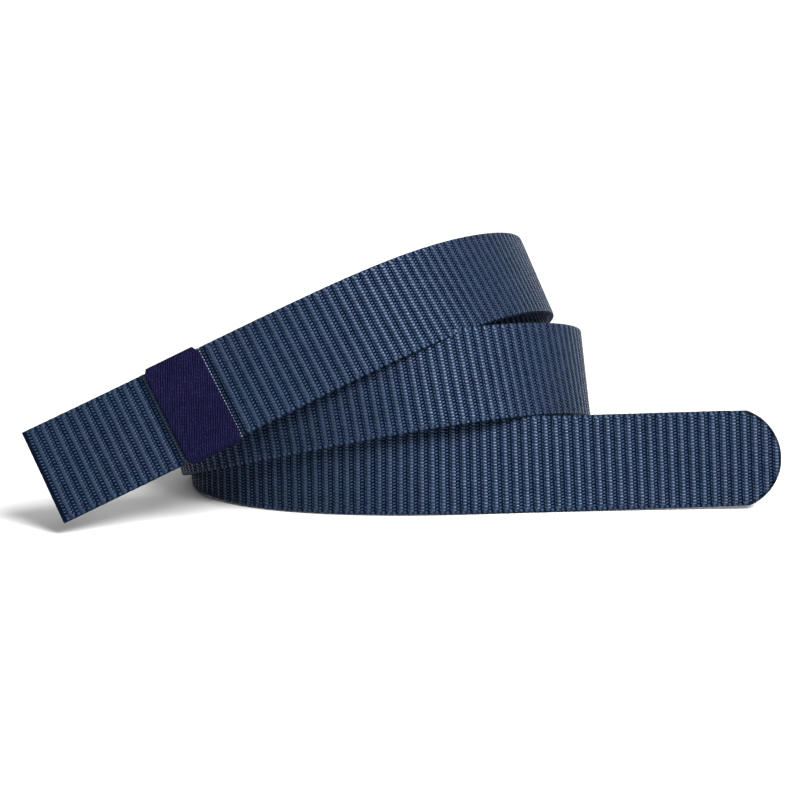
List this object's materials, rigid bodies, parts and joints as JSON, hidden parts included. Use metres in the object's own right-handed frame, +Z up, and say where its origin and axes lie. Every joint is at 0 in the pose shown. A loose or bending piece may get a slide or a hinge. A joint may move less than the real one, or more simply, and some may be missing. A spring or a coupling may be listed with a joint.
{
  "type": "nylon webbing belt strap",
  "caption": "Woven nylon belt strap with a square-cut end, a rounded tip and an elastic keeper loop, loosely coiled and standing on its long edges.",
  "frame": {"origin": "centre of the box round the belt, on the surface that its long edges stand on", "axes": "+Z up, +X from the square end towards the tip, +Y away from the side that shows the tip"},
  "size_m": [0.2708, 0.1842, 0.098],
  "materials": {
    "webbing_strap": "coarse ribbed nylon webbing with a slight sheen",
    "elastic_keeper": "fine matt woven elastic"
  },
  "bodies": {
    "root": {"webbing_strap": "webbing_strap", "elastic_keeper": "elastic_keeper"}
  },
  "joints": []
}
